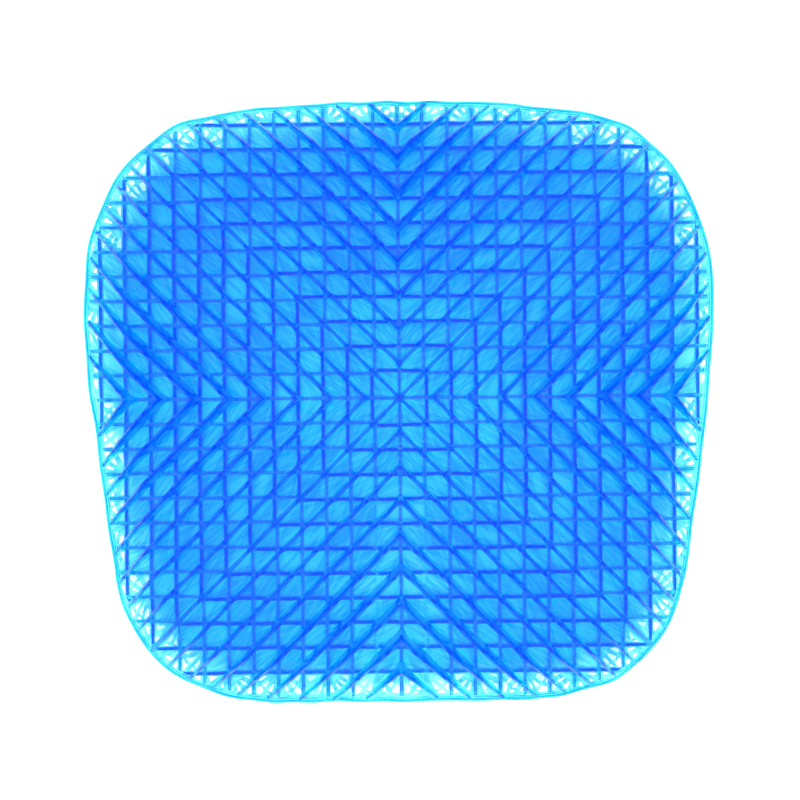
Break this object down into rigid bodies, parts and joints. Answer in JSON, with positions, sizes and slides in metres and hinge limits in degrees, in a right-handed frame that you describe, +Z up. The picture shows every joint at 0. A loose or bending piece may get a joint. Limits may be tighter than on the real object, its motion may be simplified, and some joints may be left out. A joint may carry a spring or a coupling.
{
  "type": "seat cushion",
  "caption": "Translucent blue gel seat cushion with diagonal walls over a membrane, a square cell lattice beneath and a low rim round the edge.",
  "frame": {"origin": "under the middle of the outline, on the surface that the cushion lies on", "axes": "+X along the width, +Y towards the wider, crowned back edge, +Z up"},
  "size_m": [0.37, 0.353, 0.035],
  "materials": {
    "gel_lattice": "smooth translucent gel",
    "gel_diagonal": "smooth translucent gel",
    "gel_membrane": "smooth translucent gel",
    "gel_rim": "smooth translucent gel"
  },
  "bodies": {
    "base": {"outer_rim": "gel_rim", "membrane": "gel_membrane", "lattice_centre_cross": "gel_lattice", "lattice_ring_01": "gel_lattice", "lattice_ring_02": "gel_lattice", "lattice_ring_03": "gel_lattice", "lattice_ring_04": "gel_lattice", "lattice_ring_05": "gel_lattice", "lattice_ring_06": "gel_lattice", "lattice_ring_07": "gel_lattice", "lattice_ring_08": "gel_lattice", "lattice_ring_09": "gel_lattice", "lattice_side_10_right": "gel_lattice", "lattice_side_10_back": "gel_lattice", "lattice_side_10_left": "gel_lattice", "lattice_side_10_front": "gel_lattice", "lattice_side_11_right": "gel_lattice", "lattice_side_11_back": "gel_lattice", "lattice_side_11_left": "gel_lattice", "lattice_side_11_front": "gel_lattice", "lattice_side_12_right": "gel_lattice", "lattice_side_12_left": "gel_lattice"},
    "seat_top": {"diagonal_cross": "gel_diagonal", "chevron_right_1": "gel_diagonal", "chevron_right_2": "gel_diagonal", "chevron_right_3": "gel_diagonal", "chevron_right_4": "gel_diagonal", "chevron_right_5": "gel_diagonal", "chevron_right_6": "gel_diagonal", "chevron_right_7": "gel_diagonal", "chevron_right_8": "gel_diagonal", "chevron_back_1": "gel_diagonal", "chevron_back_2": "gel_diagonal", "chevron_back_3": "gel_diagonal", "chevron_back_4": "gel_diagonal", "chevron_back_5": "gel_diagonal", "chevron_back_6": "gel_diagonal", "chevron_back_7": "gel_diagonal", "chevron_back_8": "gel_diagonal", "chevron_left_1": "gel_diagonal", "chevron_left_2": "gel_diagonal", "chevron_left_3": "gel_diagonal", "chevron_left_4": "gel_diagonal", "chevron_left_5": "gel_diagonal", "chevron_left_6": "gel_diagonal", "chevron_left_7": "gel_diagonal", "chevron_left_8": "gel_diagonal", "chevron_front_1": "gel_diagonal", "chevron_front_2": "gel_diagonal", "chevron_front_3": "gel_diagonal", "chevron_front_4": "gel_diagonal", "chevron_front_5": "gel_diagonal", "chevron_front_6": "gel_diagonal", "chevron_front_7": "gel_diagonal", "chevron_front_8": "gel_diagonal"}
  },
  "joints": [
    {"name": "seat_compression", "type": "slide", "parent": "base", "child": "seat_top", "axis": [0, 0, -1], "range_m": [0, 0.012], "stiffness_N_per_m": 50000, "deforming": ["diagonal_cross", "chevron_right_1", "chevron_right_2", "chevron_right_3", "chevron_right_4", "chevron_right_5", "chevron_right_6", "chevron_right_7", "chevron_right_8", "chevron_back_1", "chevron_back_2", "chevron_back_3", "chevron_back_4", "chevron_back_5", "chevron_back_6", "chevron_back_7", "chevron_back_8", "chevron_left_1", "chevron_left_2", "chevron_left_3", "chevron_left_4", "chevron_left_5", "chevron_left_6", "chevron_left_7", "chevron_left_8", "chevron_front_1", "chevron_front_2", "chevron_front_3", "chevron_front_4", "chevron_front_5", "chevron_front_6", "chevron_front_7", "chevron_front_8"]}
  ]
}
